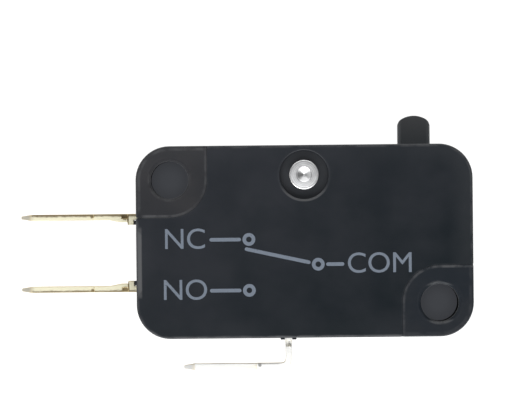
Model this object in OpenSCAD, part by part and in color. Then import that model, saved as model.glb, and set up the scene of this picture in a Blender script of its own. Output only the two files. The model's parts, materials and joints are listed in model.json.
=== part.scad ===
// Miniature snap-action switch with a pin plunger, lying on its back.
// X runs along the housing, Y towards the plunger and Z from the back face to the front face.
// The origin is the centre of the housing's outline, on the back face. All sizes are in millimetres.

/* [Housing] */
// Length of the housing along X
body_l = 27.8; // [27.4:0.1:30]
// Height of the housing along Y
body_h = 15.9; // [15.6:0.1:17.5]
// Thickness of the housing along Z
body_t = 10.3; // [9.9:0.1:12]
// Radius of the housing's corners
corner_r = 2.8; // [1.6:0.1:3]
// Thickness of the case's side walls
wall_t = 1.4; // [1.1:0.1:1.6]
// Thickness of the case's back wall
floor_t = 1.6; // [1.3:0.1:1.9]
// Thickness of the cover
cover_t = 1.8; // [1.4:0.1:2]
// Gap between the cover and the case's corner pads
cover_gap = 0.05; // [0.03:0.01:0.2]
// Width of the bevel on the cover's edge between the two side terminals
edge_bevel = 0.45; // [0.2:0.05:0.9]
// Diameter of the cover's locating pegs
peg_d = 1.5; // [1:0.1:1.8]
// Length of the cover's locating pegs
peg_l = 1.6; // [1:0.1:3]
// Clearance round and below each locating peg
peg_fit = 0.05; // [0.02:0.01:0.2]

/* [Mounting holes] */
// Diameter of the two mounting holes
hole_d = 3.1; // [2.6:0.1:3.4]
// Distance between the mounting holes along X
hole_pitch_x = 22.2; // [21.8:0.1:22.6]
// Distance between the mounting holes along Y
hole_pitch_y = 10.3; // [10.1:0.1:10.6]
// Width of the edge break round each mounting hole
hole_break = 0.15; // [0.05:0.05:0.4]
// Distance from a hole's axis to the inner edges of its corner pad
pad_reach = 3.05; // [2.7:0.05:3.2]

/* [Cover rivet] */
// Distance from the housing's top edge down to the rivet's axis
rivet_drop = 2.45; // [2.2:0.05:3]
// Diameter of the rivet's shank
rivet_shank_d = 1.6; // [1.2:0.1:2]
// Diameter of the rivet's two heads
rivet_head_d = 2.45; // [2.2:0.05:3]
// Height of each rivet head
rivet_head_h = 0.42; // [0.3:0.02:0.6]
// Diameter of the punched dimple in the front head
rivet_dimple_d = 1.3; // [0.6:0.1:1.6]
// Depth of that dimple below the front head's rim
rivet_dimple_depth = 0.35; // [0.2:0.01:0.38]
// Depth of the shallow dish inside the front head's rolled rim
rivet_dish = 0.07; // [0.03:0.01:0.12]
// Diameter of the round recess that each head sits in
rivet_recess_d = 4.05; // [3.4:0.05:4.5]
// Distance that each head lies below the front or back face
rivet_sink = 0.06; // [0.02:0.01:0.2]
// Clearance round the rivet's shank
rivet_fit = 0.03; // [0.02:0.01:0.1]
// Thickness of the boss wall round the rivet
rivet_boss_wall = 1.2; // [0.8:0.1:1.6]

/* [Plunger] */
// Distance from the housing's centre to the plunger's axis
plunger_x = 9.1; // [8.4:0.1:9.4]
// Width of the plunger along X
plunger_w = 2.67; // [2.2:0.01:3]
// Depth of the plunger along Z
plunger_d = 3.4; // [2.6:0.1:4]
// Radius of the plunger's upright corners
plunger_corner_r = 0.3; // [0.1:0.05:0.6]
// Height of the free plunger's top above the housing
plunger_rise = 2.34; // [2.1:0.02:3.5]
// Radius of the plunger's crowned top
crown_r = 1.95; // [1.7:0.05:3]
// Radius that blends the crown into the plunger's sides
crown_blend_r = 0.75; // [0.3:0.05:1]
// Full travel of the plunger
plunger_travel = 1.8; // [1.2:0.1:1.9]
// Sliding clearance round the plunger
plunger_fit = 0.06; // [0.03:0.01:0.1]
// How far the plunger's stop flange stands out on each side
flange_lip = 0.6; // [0.4:0.1:0.8]
// Height of the plunger's stop flange
flange_h = 1.2; // [0.8:0.1:1.5]
// Radius of the plunger's rounded foot
foot_r = 0.8; // [0.5:0.05:1]
// Thickness of the ribs that guide the flange
guide_t = 0.8; // [0.6:0.1:1]
// Clearance between the flange and its guide ribs
guide_fit = 0.12; // [0.05:0.01:0.2]

/* [Terminals] */
// Thickness of the terminal sheet
sheet_t = 0.5; // [0.4:0.05:0.6]
// Width of the push-on tabs
tab_w = 4.75; // [4:0.05:5.2]
// Length of the push-on tabs
tab_l = 6; // [5:0.1:6.6]
// Diameter of the latch hole in each tab
tab_hole_d = 1.4; // [1:0.1:1.8]
// Width of the 45 degree corners at each tab's tip
tab_corner = 0.9; // [0.3:0.1:1.4]
// Length of the bevel that thins each tab's tip
tab_bevel_l = 0.8; // [0.4:0.1:1.2]
// Depth of the bevel that thins each tab's tip
tab_bevel = 0.13; // [0.05:0.01:0.18]
// Distance from the housing's end to the tips of the side tabs
side_reach = 9.5; // [8.6:0.1:11]
// Step of each side terminal away from the other, within the housing's end wall
side_step = 0.35; // [0.1:0.05:0.5]
// Length of the root between the housing and the notched neck
root_l = 0.7; // [0.65:0.05:1]
// Length of the ribs pressed along each side terminal's root
rib_l = 2; // [1.4:0.1:2.8]
// Length of the sloping end of those ribs
rib_ramp = 0.9; // [0.3:0.1:1]
// Height of those ribs above the sheet
rib_rise = 0.18; // [0.05:0.01:0.25]
// Width of each of those ribs, from the edge of the sheet
rib_w = 1.6; // [0.8:0.1:2.4]
// Length of the stop shoulder at each rib's end
shoulder_l = 0.5; // [0.3:0.05:0.6]
// Height of those shoulders above the sheet
shoulder_rise = 0.4; // [0.3:0.05:0.6]
// Width of the notches in the neck beside each root
neck_l = 0.5; // [0.3:0.05:0.7]
// Depth of the notches in the neck
neck_cut = 0.5; // [0.2:0.05:0.8]
// Middle-line radius of the bends in the terminal sheet
bend_r = 0.6; // [0.5:0.05:0.8]
// Place of the common terminal along X
com_x = -1.4; // [-2:0.05:-0.5]
// Distance from the housing's bottom down to the common tab's middle
com_drop = 2.35; // [1.9:0.05:3.5]
// Distance from the common terminal's leg to its tab's tip
com_reach = 8.65; // [7.8:0.05:10]
// Clearance between a terminal's faces and its channel in the case
channel_fit = 0.05; // [0.02:0.01:0.1]
// Clearance between a terminal's edges and the case's floor and cover
side_fit = 0.1; // [0.05:0.01:0.2]
// Thickness of the collar beside each terminal's way out
collar_t = 0.35; // [0.2:0.05:0.6]
// Height of those collars above the wall
collar_rise = 0.15; // [0.1:0.05:0.2]

/* [Contacts] */
// Diameter of the fixed contacts' heads
fixed_contact_d = 3; // [2.4:0.1:3.2]
// Thickness of the fixed contacts' heads
fixed_contact_t = 0.9; // [0.7:0.05:1]
// Diameter of the moving contact's heads
moving_contact_d = 2.8; // [2.2:0.1:3]
// Thickness of each of the moving contact's heads
moving_contact_t = 0.82; // [0.6:0.02:0.9]
// Radius of the moving contact's crowned faces
moving_contact_crown = 5; // [4:0.5:10]
// Diameter of the contacts' shanks
contact_shank_d = 1.5; // [1:0.1:1.8]
// Width of the riveted tail round each fixed contact's shank
contact_tail = 0.3; // [0.2:0.05:0.4]
// Height of the fixed contacts' riveted tails
contact_tail_h = 0.35; // [0.2:0.05:0.4]
// Clearance round the contacts' shanks
shank_fit = 0.02; // [0.01:0.01:0.05]
// Travel of the moving contact from one fixed contact to the other
contact_gap = 1; // [0.6:0.05:1.1]
// Gap left between closed contacts
contact_touch = 0.03; // [0.02:0.01:0.06]
// Distance from the left pillar's edge to the contacts' axis
contact_offset = 1.6; // [1.5:0.05:1.9]

/* [Snap mechanism] */
// Thickness of the contact blade
blade_t = 0.25; // [0.2:0.01:0.3]
// Width of the contact blade and of the actuating lever
blade_w = 5.4; // [5:0.1:5.6]
// Height of the step that lowers the blade to the contacts
blade_step = 1.2; // [1:0.05:1.3]
// Width of the window that the spring passes through
window_w = 2.7; // [2.5:0.1:3]
// Thickness of the actuating lever
lever_t = 0.4; // [0.3:0.02:0.45]
// Distance from the lever's pivot to the plunger's axis
lever_arm = 5; // [4.8:0.1:5.4]
// Height of the lever's flat end above its pivot
lever_rise = 1.5; // [1.4:0.05:1.6]
// Distance from the lever's pivot to its spring hole
lever_hook = 3.5; // [3.4:0.05:3.7]
// Distance from the blade's pivot down to the lever's pivot
pivot_drop = 1.1; // [1:0.05:1.2]
// How far the rounded pivot edges stand out from the faces of their sheet
pivot_bead = 0.02; // [0.01:0.01:0.04]
// Clearance round the pivot edges that rock in the common post's grooves
pivot_fit = 0.03; // [0.02:0.01:0.06]
// Gap left between the plunger's foot and the lever
foot_touch = 0.04; // [0.03:0.01:0.08]
// Diameter of the spring wire
wire_d = 0.28; // [0.2:0.02:0.32]
// Outer diameter of the spring's coils
coil_d = 1.9; // [1.6:0.05:2]
// Number of turns in the spring
coil_turns = 15; // [10:1:20]
// Diameter of the holes that the spring hooks into
hook_hole_d = 0.7; // [0.6:0.05:0.8]

/* [Hidden] */

$fn = 64;
cut = 1;             // overshoot of every cut past the faces that it opens
bend_steps = 6;      // flats in each bend of the sheet
wire_sides = 6;      // flats round the spring wire
turn_steps = 14;     // flats in each turn of the spring
hook_steps = 8;      // flats in each bend from the coil to a hook

case_color = "#34363a";
cover_color = "#26282c";
plunger_color = "#3a3b3d";
brass_color = "#d8c48a";
silver_color = "#dcdcd8";
rivet_color = "#c8cacd";
blade_color = "#c99563";
steel_color = "#9b9da1";

// Levels along Z
parting_z = body_t - cover_t;
cavity_d = parting_z - floor_t;
mid_z = floor_t + cavity_d / 2;

// Outline of the housing and its cavity
cavity_corner_min = 0.3;   // smallest radius of the cavity's corners
bevel_room = 0.45;         // edge left square below the upper side terminal
bevel_reach = 0.7;         // how far the bevel runs below the lower side terminal
dimple_point_r = 0.05;     // radius of the flat at the bottom of the rivet's dimple
right_x = body_l / 2;
top_y = body_h / 2;
inner_x = right_x - wall_t;
inner_y = top_y - wall_t;
hole_x = hole_pitch_x / 2;
hole_y = hole_pitch_y / 2;
pad_under_y = hole_y - pad_reach;
pillar_edge_x = -hole_x + pad_reach;
rivet_y = top_y - rivet_drop;
rivet_recess_depth = rivet_head_h + rivet_sink;

// Levels of the terminals and contacts along Y
contact_margin = 0.2;    // sheet left beyond a contact, along the terminal
plate_margin = 0.7;      // sheet left beside a fixed contact
rib_bite = 0.1;          // overlap of a root's ribs with the sheet
closed_y = pad_under_y - channel_fit - sheet_t / 2;
moving_half = blade_t / 2 + moving_contact_t;
plate_to_middle = sheet_t / 2 + fixed_contact_t + contact_touch + contact_gap / 2 + moving_half;
middle_y = closed_y - plate_to_middle;
open_y = middle_y - plate_to_middle;
contact_x = pillar_edge_x + contact_offset;
plate_end_x = contact_x + fixed_contact_d / 2 + contact_margin;
plate_w = fixed_contact_d + 2 * plate_margin;
terminal_w = cavity_d - 2 * side_fit;
tab_tip_x = -right_x - side_reach;
root_x = -right_x - root_l;
step_x = -inner_x - 2 * side_step;
closed_tab_y = closed_y + side_step;
open_tab_y = open_y - side_step;
shoulder_x = -right_x - collar_rise - channel_fit;
common_neck_y = -top_y - collar_rise - channel_fit;
common_tip_x = com_x - com_reach;
common_tab_y = -top_y - com_drop;

// Pivots of the blade and the lever, on the two faces of the common terminal's post
post_head = 0.55;        // height of the post above the blade's pivot
post_margin = 0.2;       // width of the post beyond the blade's edges
fork_room = 0.6;         // room below the spring in the fork
post_right_x = plunger_x - lever_arm;
post_x = post_right_x - sheet_t / 2;
blade_pivot = [post_right_x - sheet_t, middle_y + blade_step];
lever_pivot = [post_right_x, blade_pivot[1] - pivot_drop];
post_w = blade_w + 2 * post_margin;
post_top_y = blade_pivot[1] + post_head;
fork_bottom_y = lever_pivot[1] - coil_d / 2 - fork_room;

// Contact blade, measured from its pivot
tip_margin = 0.3;        // blade left beyond the moving contact
tongue_margin = 0.4;     // blade left beside the moving contact
step_room = 0.7;         // flat between the moving contact and the blade's step
step_l = 1.3;            // length of the blade's step
hook_set = 0.8;          // distance from the step to the spring hole
hook_land = 0.15;        // metal left between a spring hole and the window
blade_arm = blade_pivot[0] - contact_x;
blade_tip = blade_arm + moving_contact_d / 2 + tip_margin;
tongue_w = moving_contact_d + 2 * tongue_margin;
step_end = blade_arm - moving_contact_d / 2 - step_room;
step_start = step_end - step_l;
blade_hook = step_start - hook_set;
half_swing = asin(contact_gap / 2 / blade_arm);

// Actuating lever, measured from its pivot
lever_heel = 1.1;        // level stretch beside the pivot
lever_ramp = 1.2;        // length of the ramp up to the flat end
lever_bend_r = 0.4;      // middle-line radius of the bends in the blade and the lever
lever_toe = 0.1;         // flat left beyond the plunger's foot
lever_end = lever_arm + foot_r + lever_toe;

// Spring, from its hole in the blade to its hole in the lever
coil_start = 1.2;        // distance from a spring hole to the coil
hook_tail = 0.5;         // wire that stands below a spring hole's middle
hook_rise = 0.1;         // wire that stands above the lever before it bends
hook_neck = lever_t / 2 + hook_rise;
spring_start = blade_pivot + turned([-blade_hook, 0], -half_swing);
spring_end = lever_pivot + [lever_hook, lever_rise];
spring_l = norm(spring_end - spring_start);
spring_angle = atan2(spring_end[1] - spring_start[1], spring_end[0] - spring_start[0]);
coil_r = (coil_d - wire_d) / 2;
coil_pitch = (spring_l - 2 * coil_start) / coil_turns;

// Seats moulded in the case
column_room = 0.65;      // room between the blade's tip and the terminals' column
seat_rise = 1.1;         // height of the seat under the common terminal's run
seat_hold = 1.5;         // height of the seat beside the common terminal's post
seat_wall = 1.2;         // width of the seat to the left of the common terminal's leg
seat_l = 2.7;            // width of the seat to the right of the post
peg_wall = 0.5;          // seat left beside a locating peg
column_edge_x = blade_pivot[0] - blade_tip - column_room;
run_y = -inner_y + seat_rise + sheet_t / 2;
seat_top_y = run_y + sheet_t / 2 + seat_hold;
seat_left_x = com_x - sheet_t / 2 - seat_wall;
seat_right_x = post_right_x + seat_l;
side_peg = [(column_edge_x - inner_x) / 2, (open_y - sheet_t / 2 - inner_y) / 2];
common_peg = [seat_right_x - peg_wall - peg_d / 2, run_y];

// Middle lines of the formed strips
function side_path(x, y, tip_x, tab_y) = [[x, y], [-inner_x, y], [step_x, tab_y], [tip_x, tab_y]];
closed_path = side_path(plate_end_x, closed_y, tab_tip_x, closed_tab_y);
open_path = side_path(plate_end_x, open_y, tab_tip_x, open_tab_y);
closed_channel_path = side_path(column_edge_x + cut, closed_y, shoulder_x - cut, closed_tab_y);
open_channel_path = side_path(column_edge_x + cut, open_y, shoulder_x - cut, open_tab_y);
common_inner_path = [
    [com_x, run_y],
    [post_x, run_y],
    [post_x, post_top_y]
];
common_path = concat([[common_tip_x, common_tab_y], [com_x, common_tab_y]], common_inner_path);
common_channel_path = concat([[com_x, -top_y - cut]], common_inner_path);

// Vector helpers
function unit(v) = v / norm(v);
function turned(v, a) = [v[0] * cos(a) - v[1] * sin(a), v[0] * sin(a) + v[1] * cos(a)];
function left_of(v) = [-v[1], v[0]];

// A middle line with the corner at b rounded to radius r
function corner_arc(a, b, c, r) =
    let (
        u = unit(a - b),
        v = unit(c - b),
        half = acos(u * v) / 2,
        centre = b + unit(u + v) * r / sin(half),
        start = b + u * r / tan(half) - centre,
        side = u[0] * v[1] - u[1] * v[0] < 0 ? 1 : -1
    )
    [for (k = [0:bend_steps]) centre + turned(start, side * (180 - 2 * half) * k / bend_steps)];

function rounded_path(p, r) = concat(
    [p[0]],
    [for (i = [1:len(p) - 2]) each corner_arc(p[i - 1], p[i], p[i + 1], r)],
    [p[len(p) - 1]]
);

// The middle line moved sideways by d, to its left where d is positive
function beside(p, d) = [
    for (i = [0:len(p) - 1])
        let (
            before = unit(p[max(i, 1)] - p[max(i, 1) - 1]),
            after = unit(p[min(i + 1, len(p) - 1)] - p[min(i, len(p) - 2)]),
            normal = unit(left_of(before) + left_of(after))
        )
        p[i] + normal * d / (normal * left_of(before))
];

function strip_outline(p, t) =
    let (
        upper = beside(p, t / 2),
        lower = beside(p, -t / 2)
    )
    concat(lower, [for (i = [len(p) - 1:-1:0]) upper[i]]);

// Outlines of the housing
module rounded_rectangle(l, h, r) {
    square([l - 2 * r, h], center = true);
    square([l, h - 2 * r], center = true);
    for (x = [-1, 1], y = [-1, 1])
        translate([x * (l / 2 - r), y * (h / 2 - r)])
            circle(r);
}

module body_outline() {
    rounded_rectangle(body_l, body_h, corner_r);
}

module cavity_outline() {
    rounded_rectangle(body_l - 2 * wall_t, body_h - 2 * wall_t, max(corner_r - wall_t, cavity_corner_min));
}

// The corner pads round the two mounting holes, grown by a gap
module pads(gap) {
    reach = pad_reach + gap;
    intersection() {
        body_outline();
        for (a = [0, 180])
            rotate(a)
                translate([-hole_x, hole_y]) {
                    circle(reach);
                    translate([-body_l, -reach])
                        square([body_l, reach + body_h]);
                    translate([-body_l, 0])
                        square([body_l + reach, body_h]);
                }
    }
}

module at_holes() {
    for (a = [0, 180])
        rotate(a)
            translate([-hole_x, hole_y])
                children();
}

module at_pegs() {
    for (p = [side_peg, common_peg])
        translate(p)
            children();
}

// A strip of sheet of the given width, lying along its middle line and centred on the mechanism
module strip(path, t, r, w) {
    translate([0, 0, mid_z])
        linear_extrude(w, center = true)
            polygon(strip_outline(rounded_path(path, r), t));
}

// A cylinder along Y that starts at y0
module post_along_y(x, y0, h, d) {
    translate([x, y0, mid_z])
        rotate([-90, 0, 0])
            cylinder(d = d, h = h);
}

// What lies further than w / 2 from the middle plane, between two corners in plan
module beyond(w, low, high) {
    for (s = [0, 1])
        mirror([0, 0, s])
            translate([low[0], low[1], w / 2])
                cube([high[0] - low[0], high[1] - low[1], body_t]);
}

// What lies within w / 2 of the middle plane, between two corners in plan
module within(w, low, high) {
    translate([low[0], low[1], -w / 2])
        cube([high[0] - low[0], high[1] - low[1], w]);
}

module at_middle() {
    translate([0, 0, mid_z])
        children();
}

// The solid seats that stand in the cavity, in plan
module seats() {
    // column that holds the two side terminals apart
    translate([-inner_x, -inner_y])
        square([inner_x + column_edge_x, inner_y + pad_under_y]);
    // seat of the common terminal
    translate([seat_left_x, -inner_y])
        square([seat_right_x - seat_left_x, seat_top_y + inner_y]);
    // boss of the cover rivet
    translate([0, rivet_y])
        circle(rivet_shank_d / 2 + rivet_fit + rivet_boss_wall);
    // ribs on both sides of the plunger's flange
    for (s = [-1, 1])
        translate([plunger_x + s * (plunger_w / 2 + flange_lip + guide_fit + guide_t / 2), inner_y])
            square([guide_t, 2 * (flange_h + plunger_travel)], center = true);
}

// Collar on the inner side of a side terminal, which its shoulders stop against
module side_collar(y, inward) {
    reach = sheet_t / 2 + channel_fit + collar_t;
    translate([-right_x - collar_rise, inward < 0 ? y - reach : y, floor_t])
        cube([collar_rise + wall_t, reach, cavity_d]);
}

module common_collar() {
    half = sheet_t / 2 + channel_fit + collar_t;
    translate([com_x - half, -top_y - collar_rise, floor_t])
        cube([2 * half, collar_rise + wall_t, cavity_d]);
}

// The way of a terminal's strip through walls and seats, open to the front
module channel(path) {
    translate([0, 0, floor_t])
        linear_extrude(cavity_d + cut)
            polygon(strip_outline(rounded_path(path, bend_r), sheet_t + 2 * channel_fit));
}

module plunger_hole() {
    w = plunger_w + 2 * plunger_fit;
    d = plunger_d + 2 * plunger_fit;
    translate([plunger_x, inner_y - cut, mid_z])
        rotate([-90, 0, 0])
            linear_extrude(wall_t + 2 * cut)
                rounded_rectangle(w, d, plunger_corner_r + plunger_fit);
}

module mounting_hole() {
    r = hole_d / 2;
    translate([0, 0, -cut])
        cylinder(r = r, h = body_t + 2 * cut);
    translate([0, 0, -cut])
        cylinder(r1 = r + hole_break + cut, r2 = r, h = hole_break + cut);
    translate([0, 0, body_t - hole_break])
        cylinder(r1 = r, r2 = r + hole_break + cut, h = hole_break + cut);
}

// Moulded case: back wall, side walls, the two hole pillars and the seats of the mechanism
module case() {
    color(case_color)
        difference() {
            union() {
                difference() {
                    union() {
                        linear_extrude(parting_z)
                            body_outline();
                        side_collar(closed_tab_y, -1);
                        side_collar(open_tab_y, 1);
                        common_collar();
                    }
                    translate([0, 0, floor_t])
                        linear_extrude(cavity_d + cut)
                            difference() {
                                cavity_outline();
                                pads(0);
                                seats();
                            }
                    channel(closed_channel_path);
                    channel(open_channel_path);
                    channel(common_channel_path);
                }
                translate([0, 0, parting_z])
                    linear_extrude(cover_t)
                        pads(0);
            }
            plunger_hole();
            at_holes()
                mounting_hole();
            at_pegs()
                translate([0, 0, parting_z - peg_l - peg_fit])
                    cylinder(d = peg_d + 2 * peg_fit, h = peg_l + peg_fit + cut);
            translate([0, rivet_y, -cut]) {
                cylinder(d = rivet_shank_d + 2 * rivet_fit, h = body_t);
                cylinder(d = rivet_recess_d, h = rivet_recess_depth + cut);
            }
        }
}

// Flat cover with cut-out corners, a recess for the rivet and two locating pegs
module cover() {
    color(cover_color)
        difference() {
            union() {
                translate([0, 0, parting_z])
                    linear_extrude(cover_t)
                        difference() {
                            body_outline();
                            pads(cover_gap);
                        }
                at_pegs()
                    translate([0, 0, parting_z - peg_l])
                        cylinder(d = peg_d, h = peg_l + cover_t / 2);
            }
            translate([0, rivet_y, parting_z - cut])
                cylinder(d = rivet_shank_d + 2 * rivet_fit, h = cover_t + 2 * cut);
            translate([0, rivet_y, body_t - rivet_recess_depth])
                cylinder(d = rivet_recess_d, h = rivet_recess_depth + cut);
            terminal_edge_bevel();
        }
}

// The sloping edge between the side terminals, with ends at 45 degrees
module terminal_edge_bevel() {
    upper = closed_y - sheet_t / 2 - bevel_room;
    lower = open_y - sheet_t / 2 - bevel_reach;
    intersection() {
        translate([-right_x, upper + cut, body_t])
            rotate([90, 0, 0])
                linear_extrude(upper - lower + 2 * cut)
                    polygon([[-cut, cut], [-cut, -edge_bevel - cut], [edge_bevel + cut, cut]]);
        translate([-right_x, 0, parting_z])
            linear_extrude(cover_t + 2 * cut)
                polygon([
                    [-cut, upper + cut],
                    [edge_bevel + cut, upper - edge_bevel - cut],
                    [edge_bevel + cut, lower + edge_bevel + cut],
                    [-cut, lower - cut]
                ]);
    }
}

// Rivet head with a rolled rim, standing on the bottom of its recess
module rivet_head() {
    rim_r = rivet_head_h / 2;
    rotate_extrude() {
        square([rivet_head_d / 2 - rim_r, rivet_head_h]);
        translate([rivet_head_d / 2 - rim_r, rim_r])
            circle(rim_r);
    }
}

// Rivet that clamps the cover, with a dish and a punched dimple in its front head
module cover_rivet() {
    front_z = body_t - rivet_recess_depth;
    color(rivet_color)
        translate([0, rivet_y, 0])
            difference() {
                union() {
                    translate([0, 0, rivet_recess_depth])
                        cylinder(d = rivet_shank_d, h = front_z - rivet_recess_depth);
                    translate([0, 0, front_z])
                        rivet_head();
                    translate([0, 0, rivet_recess_depth])
                        mirror([0, 0, 1])
                            rivet_head();
                }
                translate([0, 0, front_z + rivet_head_h])
                    rotate_extrude()
                        polygon([
                            [0, -rivet_dimple_depth],
                            [dimple_point_r, -rivet_dimple_depth],
                            [rivet_dimple_d / 2, -rivet_dish],
                            [(rivet_head_d - rivet_head_h) / 2, 0],
                            [(rivet_head_d - rivet_head_h) / 2, cut],
                            [0, cut]
                        ]);
            }
}

// Front outline of the plunger's button: crowned top, blended into straight sides
module button_outline(bottom_y) {
    crown_y = top_y + plunger_rise - crown_r;
    blend_x = plunger_w / 2 - crown_blend_r;
    blend_angle = asin(blend_x / (crown_r - crown_blend_r));
    blend_y = crown_y + (crown_r - crown_blend_r) * cos(blend_angle);
    translate([-plunger_w / 2, bottom_y])
        square([plunger_w, blend_y - bottom_y]);
    for (s = [-1, 1])
        translate([s * blend_x, blend_y])
            circle(crown_blend_r);
    intersection() {
        translate([0, crown_y])
            circle(crown_r);
        polygon([
            [0, crown_y],
            [2 * crown_r * sin(blend_angle), crown_y + 2 * crown_r * cos(blend_angle)],
            [-2 * crown_r * sin(blend_angle), crown_y + 2 * crown_r * cos(blend_angle)]
        ]);
    }
    polygon([[0, crown_y], [blend_x, blend_y], [-blend_x, blend_y]]);
}

// Moulded plunger: button, stop flange inside the case and a stem with a rounded foot
module plunger() {
    stop_y = inner_y - foot_touch;
    foot_y = lever_pivot[1] + lever_rise + lever_t / 2 + foot_touch + foot_r;
    flange_w = plunger_w + 2 * flange_lip;
    flange_d = plunger_d + 2 * flange_lip;
    button_y = stop_y - flange_h;
    color(plunger_color)
        translate([plunger_x, 0, mid_z]) {
            intersection() {
                linear_extrude(plunger_d, center = true)
                    button_outline(button_y);
                translate([0, button_y, 0])
                    rotate([-90, 0, 0])
                        linear_extrude(body_h)
                            rounded_rectangle(plunger_w, plunger_d, plunger_corner_r);
            }
            translate([-flange_w / 2, button_y, -flange_d / 2])
                cube([flange_w, flange_h, flange_d]);
            linear_extrude(plunger_d, center = true) {
                translate([0, foot_y])
                    circle(foot_r);
                translate([-foot_r, foot_y])
                    square([2 * foot_r, button_y + flange_h / 2 - foot_y]);
            }
        }
}

// What is cut away to form a push-on tab that points to -X
module tab_cuts(tip_x, y) {
    at_middle()
        beyond(tab_w, [tip_x - cut, y - cut], [tip_x + tab_l, y + cut]);
    for (s = [-1, 1]) {
        // corners of the tip
        translate([tip_x, y, mid_z + s * tab_w / 2])
            rotate([0, 45, 0])
                cube([tab_corner * sqrt(2), 2 * cut, tab_corner * sqrt(2)], center = true);
        // bevel that thins the tip
        translate([tip_x, y + s * (sheet_t / 2 - tab_bevel), mid_z])
            rotate(s * atan2(tab_bevel, tab_bevel_l))
                translate([0, s * sheet_t / 2, 0])
                    cube([2 * tab_l, sheet_t, 2 * terminal_w], center = true);
    }
    post_along_y(tip_x + tab_l / 2, y - cut, 2 * cut, tab_hole_d);
}

// Ribs pressed out of a side terminal's root, each with a shoulder that stops at the case's collar
module root_ribs(y, inward) {
    translate([shoulder_x, y, mid_z])
        for (s = [0, 1])
            mirror([0, inward < 0 ? 1 : 0, 0])
                mirror([0, 0, s])
                    translate([0, sheet_t / 2, terminal_w / 2 - rib_w])
                        linear_extrude(rib_w)
                            polygon([
                                [0, -rib_bite],
                                [0, shoulder_rise],
                                [-shoulder_l, shoulder_rise],
                                [-shoulder_l, rib_rise],
                                [rib_ramp - rib_l, rib_rise],
                                [-rib_l, 0],
                                [-rib_l, -rib_bite]
                            ]);
}

// One of the two side terminals: contact plate, jog, root with ribs, neck and tab
module side_terminal(path, y, tab_y) {
    difference() {
        union() {
            difference() {
                strip(path, sheet_t, bend_r, terminal_w);
                at_middle()
                    beyond(terminal_w - 2 * neck_cut, [root_x - neck_l, tab_y - cut], [root_x, tab_y + cut]);
            }
            root_ribs(tab_y, y - tab_y);
        }
        tab_cuts(tab_tip_x, tab_y);
        post_along_y(contact_x, y - cut, 2 * cut, contact_shank_d + 2 * shank_fit);
        at_middle()
            beyond(plate_w, [column_edge_x, y - cut], [plate_end_x + cut, y + cut]);
    }
}

module normally_closed_terminal() {
    color(brass_color)
        side_terminal(closed_path, closed_y, closed_tab_y);
}

module normally_open_terminal() {
    color(brass_color)
        side_terminal(open_path, open_y, open_tab_y);
}

// Common terminal: bent tab, leg, run along the seat and forked post with two pivot grooves
module common_terminal() {
    color(brass_color)
        difference() {
            strip(common_path, sheet_t, bend_r, terminal_w);
            tab_cuts(common_tip_x, common_tab_y);
            at_middle() {
                within(window_w, [post_x - sheet_t, fork_bottom_y], [post_x + sheet_t, post_top_y + cut]);
                beyond(post_w, [post_x - sheet_t, seat_top_y], [post_x + sheet_t, post_top_y + cut]);
                beyond(
                    terminal_w - 2 * neck_cut,
                    [com_x - sheet_t, common_neck_y - neck_l],
                    [com_x + sheet_t, common_neck_y]
                );
            }
            translate(blade_pivot)
                cylinder(r = blade_t / 2 + pivot_bead + pivot_fit, h = body_t);
            translate(lever_pivot)
                cylinder(r = lever_t / 2 + pivot_bead + pivot_fit, h = body_t);
        }
}

// Contact riveted into a side terminal, its face towards the blade
module fixed_contact(y, facing) {
    color(silver_color)
        translate([contact_x, y, mid_z])
            rotate([-90 * facing, 0, 0]) {
                translate([0, 0, sheet_t / 2])
                    cylinder(d = fixed_contact_d, h = fixed_contact_t);
                translate([0, 0, -sheet_t / 2])
                    cylinder(d = contact_shank_d, h = sheet_t);
                translate([0, 0, -sheet_t / 2 - contact_tail_h])
                    cylinder(d = contact_shank_d + 2 * contact_tail, h = contact_tail_h);
            }
}

module normally_closed_contact() {
    fixed_contact(closed_y, -1);
}

module normally_open_contact() {
    fixed_contact(open_y, 1);
}

// Places its children, made level with the blade's pivot at the origin, as the blade lies at rest
module at_blade() {
    translate([blade_pivot[0], blade_pivot[1], mid_z])
        rotate(-half_swing)
            children();
}

// Forked spring-metal blade that rocks on the common post
module contact_blade() {
    path = [[0, 0], [-step_start, 0], [-step_end, -blade_step], [-blade_tip, -blade_step]];
    window_x = hook_hole_d / 2 + hook_land - blade_hook;
    color(blade_color)
        at_blade()
            difference() {
                linear_extrude(blade_w, center = true) {
                    polygon(strip_outline(rounded_path(path, lever_bend_r), blade_t));
                    circle(d = blade_t + 2 * pivot_bead);
                }
                within(window_w, [window_x, -cut], [cut, cut]);
                beyond(tongue_w, [-blade_tip - cut, -blade_step - cut], [-step_start, cut]);
                translate([-blade_hook, cut, 0])
                    rotate([90, 0, 0])
                        cylinder(d = hook_hole_d, h = 2 * cut);
                translate([-blade_arm, blade_t - blade_step, 0])
                    rotate([90, 0, 0])
                        cylinder(d = contact_shank_d + 2 * shank_fit, h = 2 * blade_t);
            }
}

// One crowned head of the moving contact, standing on the blade
module crowned_head() {
    intersection() {
        cylinder(d = moving_contact_d, h = moving_contact_t);
        translate([0, 0, moving_contact_t - moving_contact_crown])
            sphere(moving_contact_crown);
    }
}

// Moving contact: two crowned heads on one shank through the blade
module moving_contact() {
    color(silver_color)
        at_blade()
            translate([-blade_arm, -blade_step, 0])
                for (a = [-90, 90])
                    rotate([a, 0, 0]) {
                        translate([0, 0, blade_t / 2])
                            crowned_head();
                        cylinder(d = contact_shank_d, h = blade_t / 2);
                    }
}

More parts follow.
